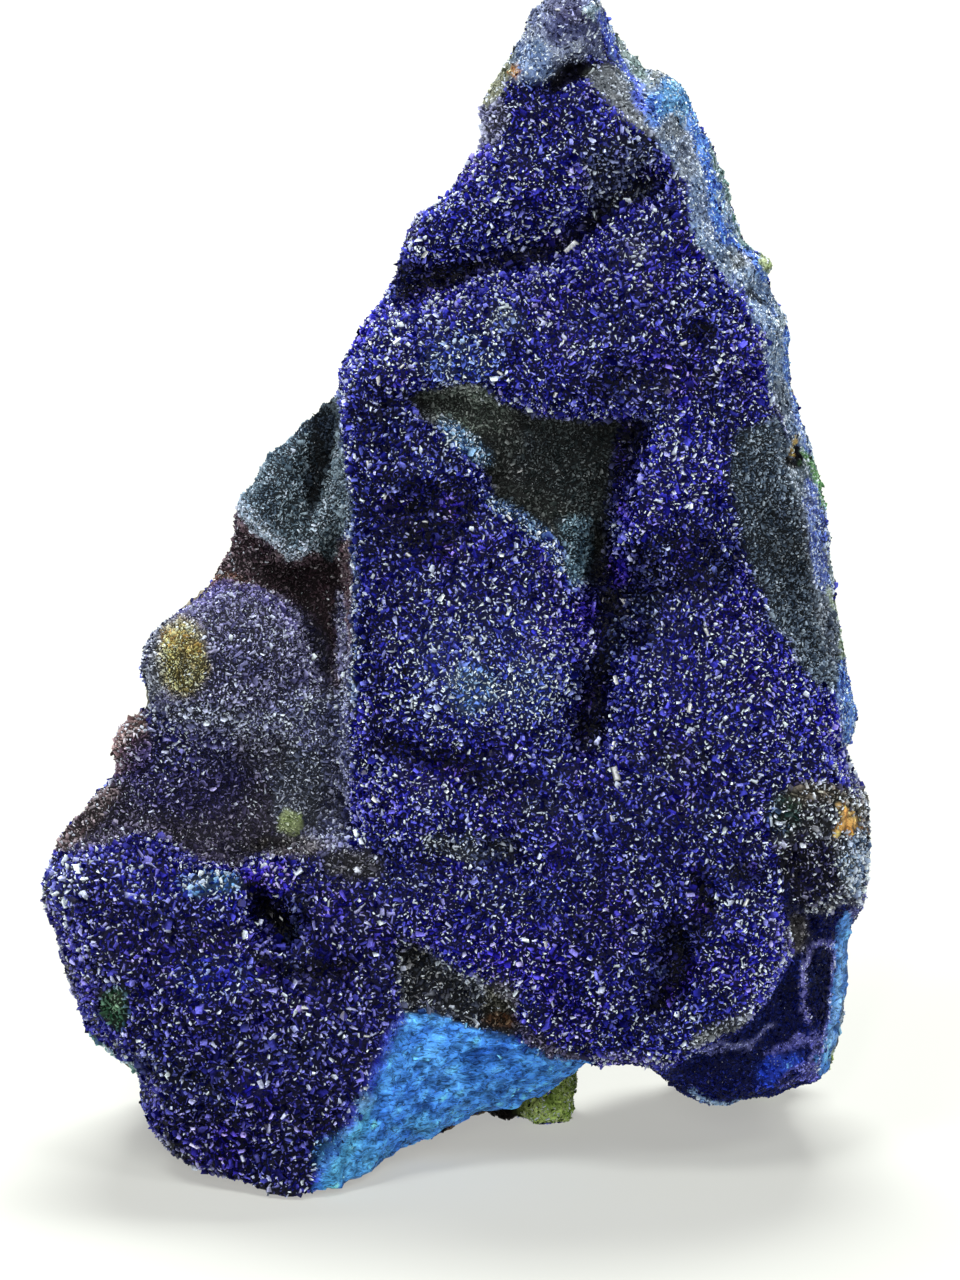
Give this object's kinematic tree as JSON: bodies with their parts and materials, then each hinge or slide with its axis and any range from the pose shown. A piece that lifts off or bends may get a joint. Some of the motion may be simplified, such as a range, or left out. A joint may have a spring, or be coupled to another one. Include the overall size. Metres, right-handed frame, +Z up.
{
  "type": "azurite mineral specimen",
  "caption": "Pointed upright plate of deep blue azurite druse on brown and grey matrix, two-lobed at the foot, shown as a free-standing mineral specimen.",
  "frame": {"origin": "on the ground, under the middle of the bounding box", "axes": "+Z up along the rock's height, -Y out of the druse face towards someone who looks at it, +X to the right as seen there"},
  "size_m": [0.067, 0.0362, 0.0951],
  "materials": {
    "azurite": "sparkling crystal druse over dull matrix"
  },
  "bodies": {
    "root": {"azurite_specimen": "azurite"}
  },
  "joints": []
}
